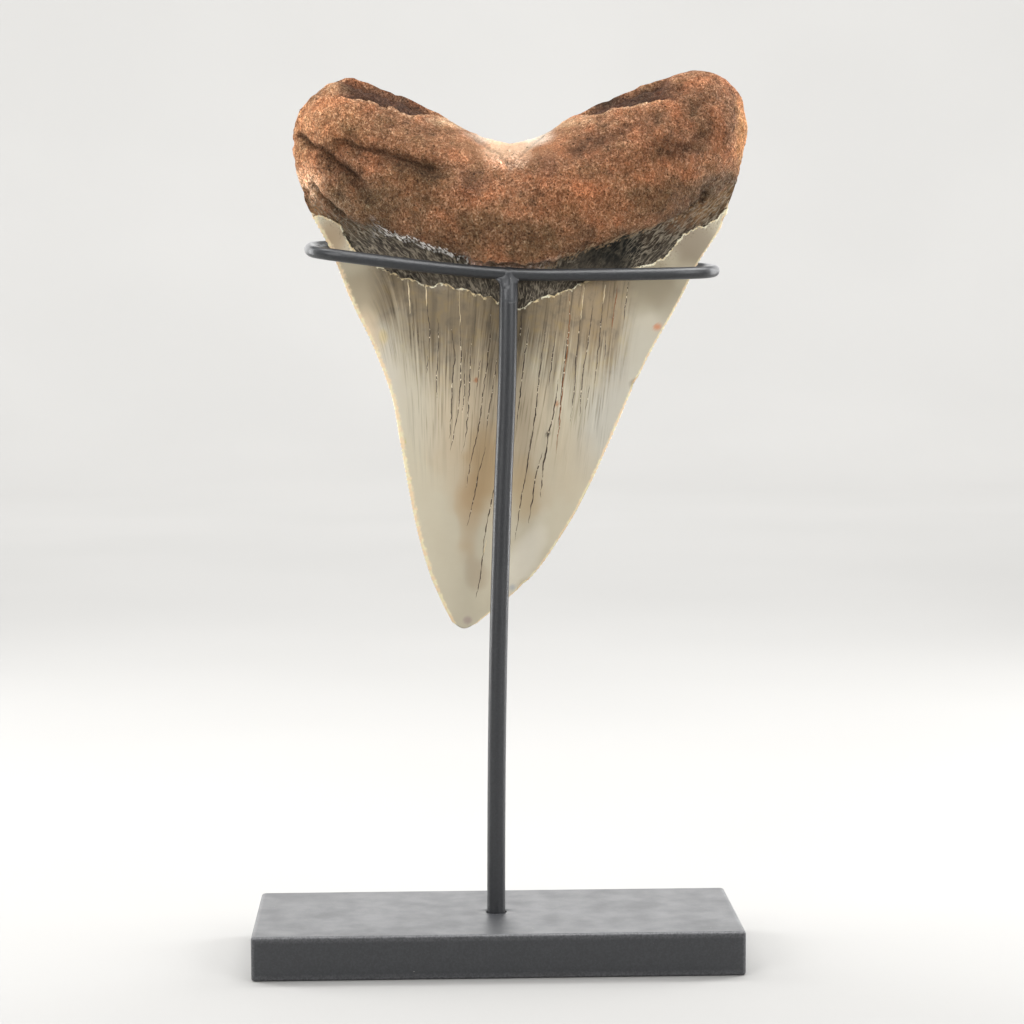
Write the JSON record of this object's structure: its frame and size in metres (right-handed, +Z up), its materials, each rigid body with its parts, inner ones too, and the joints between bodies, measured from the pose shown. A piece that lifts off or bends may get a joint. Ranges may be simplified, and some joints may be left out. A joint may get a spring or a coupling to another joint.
{
  "type": "fossil shark tooth on a wire ring stand",
  "caption": "Fossil shark tooth held crown down in a wire ring on a bent rod and a flat steel base, for display on a shelf.",
  "frame": {"origin": "centre of the base's underside", "axes": "+Z up, -Y towards the viewer in front of the post, +X to that viewer's right"},
  "size_m": [0.1145, 0.0473, 0.2028],
  "materials": {
    "fossil_tooth": "satin",
    "black_plate": "matt powder coat",
    "black_rod": "matt powder coat",
    "black_wire": "matt powder coat"
  },
  "bodies": {
    "root": {"base": "black_plate", "post": "black_rod", "ring": "black_wire", "tooth": "fossil_tooth"}
  },
  "joints": []
}
